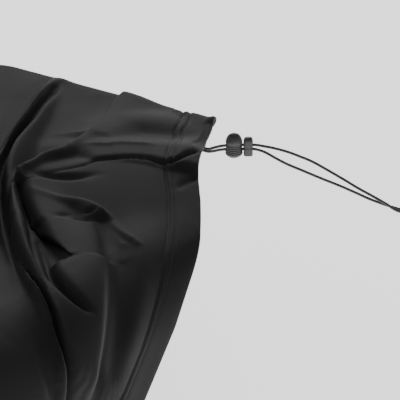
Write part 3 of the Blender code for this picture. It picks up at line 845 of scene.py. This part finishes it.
# Rings of the two mouldings: a radius or a share of the half width, and a height.
RIB_RINGS = [
    (
        RIBBED_RADIUS - RIB_TAPER * rib - depth * RIB_DEPTH,
        FOOT + RIB_START + RIB_PITCH * (rib + share),
    )
    for rib in range(RIBS) for share, depth in RIB_SHAPE
]
BARREL_RINGS = [
    (0.0, FOOT), (5.2, FOOT), (6.4, FOOT + 0.3), (7.1, FOOT + 1.1), *RIB_RINGS,
    (7.2, 13.5), (7.3, 14.0), (7.1, 15.6), (6.7, 17.2), (6.0, 18.8), (5.0, 20.2), (3.6, 21.2),
    (2.0, 21.8), (0.9, 22.0), (0.0, 22.0),
]
PLUNGER_SIZE = (8.6, 8.4)
PLUNGER_REACH = 12.4
PLUNGER_STEPS = 48
# How square a moulding is from above.
ROUND = 2.0
SQUARISH = 4.0
PLUNGER_RINGS = [
    (0.0, FOOT), (0.78, FOOT), (0.92, FOOT + 0.3), (0.97, FOOT + 1.0), (0.97, 8.6), (0.90, 8.9),
    (0.90, 9.4), (1.0, 9.8), (1.0, 14.2), (0.97, 15.6), (0.88, 16.9), (0.70, 17.8), (0.4, 18.2),
    (0.0, 18.2),
]
SLOT_SIZE = (3.5, 40.0, 7.4)
SLOT_HEIGHT = 9.35
SLOT_ROUNDING = 1.2
SLOT_ROUNDING_STEPS = 3
MOULD_MERGE = 0.005
EDGE_ANGLE = math.radians(40)
SPRING_RADIUS = 4.4
SPRING_WIRE = 0.45
SPRING_HEIGHT = 0.75
SPRING_SEGMENTS = 72
WIRE_SIDES = 12


def nylon_finish():
    """Moulded black nylon: half matt, with a fine sparked grain."""
    finish = bpy.data.materials.new("black nylon")
    finish.use_nodes = True
    nodes, links = finish.node_tree.nodes, finish.node_tree.links
    shader = nodes["Principled BSDF"]
    place = nodes.new("ShaderNodeTexCoord")
    grain = nodes.new("ShaderNodeTexNoise")
    grain.inputs["Scale"].default_value = 1800.0
    grain.inputs["Detail"].default_value = 3.0
    links.new(place.outputs["Object"], grain.inputs["Vector"])
    tone = nodes.new("ShaderNodeValToRGB")
    tone.color_ramp.elements[0].color = (0.045, 0.045, 0.046, 1)
    tone.color_ramp.elements[1].color = (0.075, 0.075, 0.077, 1)
    links.new(grain.outputs["Fac"], tone.inputs["Fac"])
    links.new(tone.outputs["Color"], shader.inputs["Base Color"])
    gloss = nodes.new("ShaderNodeMapRange")
    gloss.inputs["To Min"].default_value = 0.28
    gloss.inputs["To Max"].default_value = 0.46
    links.new(grain.outputs["Fac"], gloss.inputs["Value"])
    links.new(gloss.outputs["Result"], shader.inputs["Roughness"])
    relief = nodes.new("ShaderNodeBump")
    relief.inputs["Strength"].default_value = 0.3
    relief.inputs["Distance"].default_value = 0.05 * MM
    links.new(grain.outputs["Fac"], relief.inputs["Height"])
    links.new(relief.outputs["Normal"], shader.inputs["Normal"])
    return finish


def lock_place(offset, height):
    """Where a lock piece stands, this far along the strands from the barrel's middle."""
    along = Vector((math.sin(LOCK_TURN), -math.cos(LOCK_TURN), 0.0))
    middle = Vector(LOCK_CENTRE) + along * offset + Vector((0, 0, height))
    return Matrix.Translation((middle - UNDER_TOP) * MM) @ Matrix.Rotation(LOCK_TURN, 4, "Z")


def lock_half(name, rings, steps, half_width, half_depth, full, place):
    """A moulded half: a ring of steps for each share and height, square as full is high."""
    bpy.ops.mesh.primitive_grid_add(x_subdivisions=steps, y_subdivisions=len(rings) - 1, size=2.0)
    half = bpy.context.object
    half.name = name
    half.data.name = name
    shares, heights = np.array(rings).T
    flat = np.array([v.co[:2] for v in half.data.vertices])
    turn = (flat[:, 0] + 1.0) * math.pi
    ring = np.rint((flat[:, 1] + 1.0) / 2 * (len(rings) - 1)).astype(int)
    size = (np.abs(np.cos(turn)) ** full + np.abs(np.sin(turn)) ** full) ** (-1.0 / full)
    spots = np.column_stack([
        shares[ring] * half_width * size * np.cos(turn),
        shares[ring] * half_depth * size * np.sin(turn),
        heights[ring],
    ]) * MM
    half.data.vertices.foreach_set("co", spots.ravel())
    half.data.transform(place)
    bpy.ops.object.mode_set(mode="EDIT")
    bpy.ops.mesh.select_all(action="SELECT")
    bpy.ops.mesh.remove_doubles(threshold=MOULD_MERGE * MM)
    bpy.ops.mesh.normals_make_consistent(inside=False)
    bpy.ops.object.mode_set(mode="OBJECT")
    bpy.ops.mesh.primitive_cube_add(size=1.0)
    slot = bpy.context.object
    slot.data.transform(
        lock_place(0.0, SLOT_HEIGHT) @ Matrix.Diagonal((*(Vector(SLOT_SIZE) * MM), 1.0))
    )
    rounded = slot.modifiers.new("rounded", "BEVEL")
    rounded.width = SLOT_ROUNDING * MM
    rounded.segments = SLOT_ROUNDING_STEPS
    slot.select_set(False)
    bpy.context.view_layer.objects.active = half
    half.select_set(True)
    cut = half.modifiers.new("strands' slot", "BOOLEAN")
    cut.operation = "DIFFERENCE"
    cut.solver = "EXACT"
    cut.object = slot
    bpy.ops.object.modifier_apply(modifier=cut.name)
    bpy.data.objects.remove(slot, do_unlink=True)
    bpy.ops.object.shade_smooth_by_angle(angle=EDGE_ANGLE)
    half.data.materials.append(nylon)
    half.select_set(False)
    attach(half, "root")
    return half


nylon = nylon_finish()
barrel = lock_half(
    "lock_barrel", BARREL_RINGS, BARREL_STEPS, 1.0, 1.0, ROUND, lock_place(0.0, 0.0),
)
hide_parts("lock_body")
plunger = lock_half(
    "lock_plunger_half", PLUNGER_RINGS, PLUNGER_STEPS, PLUNGER_SIZE[0] / 2, PLUNGER_SIZE[1] / 2,
    SQUARISH, lock_place(PLUNGER_REACH, 0.0),
)
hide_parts("lock_plunger")

bpy.ops.mesh.primitive_torus_add(
    major_radius=SPRING_RADIUS * MM, minor_radius=SPRING_WIRE * MM,
    major_segments=SPRING_SEGMENTS, minor_segments=WIRE_SIDES,
)
spring = bpy.context.object
spring.name = "lock_spring_ring"
spring.data.name = "lock_spring_ring"
spring.data.transform(lock_place(0.0, SPRING_HEIGHT) @ Matrix.Translation(-spring.location))
spring.location = (0, 0, 0)
bpy.ops.object.shade_smooth()
steel = bpy.data.materials.new("bright steel")
steel.use_nodes = True
shader = steel.node_tree.nodes["Principled BSDF"]
shader.inputs["Metallic"].default_value = 1.0
drawn = steel.node_tree.nodes.new("ShaderNodeTexNoise")
drawn.inputs["Scale"].default_value = 700.0
coordinates = steel.node_tree.nodes.new("ShaderNodeTexCoord")
steel.node_tree.links.new(coordinates.outputs["Object"], drawn.inputs["Vector"])
steel_tone = steel.node_tree.nodes.new("ShaderNodeValToRGB")
steel_tone.color_ramp.elements[0].color = (0.62, 0.62, 0.63, 1)
steel_tone.color_ramp.elements[1].color = (0.85, 0.85, 0.86, 1)
steel.node_tree.links.new(drawn.outputs["Fac"], steel_tone.inputs["Fac"])
steel.node_tree.links.new(steel_tone.outputs["Color"], shader.inputs["Base Color"])
steel_gloss = steel.node_tree.nodes.new("ShaderNodeMapRange")
steel_gloss.inputs["To Min"].default_value = 0.18
steel_gloss.inputs["To Max"].default_value = 0.34
steel.node_tree.links.new(drawn.outputs["Fac"], steel_gloss.inputs["Value"])
steel.node_tree.links.new(steel_gloss.outputs["Result"], shader.inputs["Roughness"])
spring.data.materials.append(steel)
spring.select_set(False)
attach(spring, "root")
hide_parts("lock_spring")

# ---------------------------------------------------------------------------
# Floor and light. A plain pale floor, a broad soft light from behind the far side,
# a smaller one from the back left, a faint one from the left, and an even pale surround.
# ---------------------------------------------------------------------------
FLOOR_SIZE = 40.0
FLOOR_GLOW = 1.6
SURROUND = 0.20
# Each light: its name, its place from the middle of the folds, its size and its power.
LIGHTS = (
    ("light behind", (2.5, 1.8, 1.3), 1.8, 16.0),
    ("light back left", (-0.6, 2.6, 1.3), 1.2, 3.0),
    ("light left", (-2.4, -1.4, 1.0), 1.6, 2.0),
)
LIT_PLACE = -UNDER_TOP * MM + Vector((-0.25, 0.12, 0.0))
bpy.ops.mesh.primitive_plane_add(size=FLOOR_SIZE, location=(0, 0, cad_box[0][2] - MM))
floor = bpy.context.object
floor.name = "floor"
paper = bpy.data.materials.new("pale floor")
paper.use_nodes = True
shader = paper.node_tree.nodes["Principled BSDF"]
shader.inputs["Base Color"].default_value = (0.9, 0.9, 0.9, 1)
shader.inputs["Roughness"].default_value = 0.9
shader.inputs["Emission Color"].default_value = (1, 1, 1, 1)
shader.inputs["Emission Strength"].default_value = FLOOR_GLOW
floor.data.materials.append(paper)
for name, offset, size, power in LIGHTS:
    bpy.ops.object.light_add(type="AREA", location=LIT_PLACE + Vector(offset))
    light = bpy.context.object
    light.name = name
    light.data.size = size
    light.data.energy = power
    light.rotation_euler = (-Vector(offset)).to_track_quat("-Z", "Y").to_euler()
surround = bpy.data.worlds.new("pale surround")
surround.use_nodes = True
surround.node_tree.nodes["Background"].inputs["Color"].default_value = (1, 1, 1, 1)
surround.node_tree.nodes["Background"].inputs["Strength"].default_value = SURROUND
bpy.context.scene.world = surround
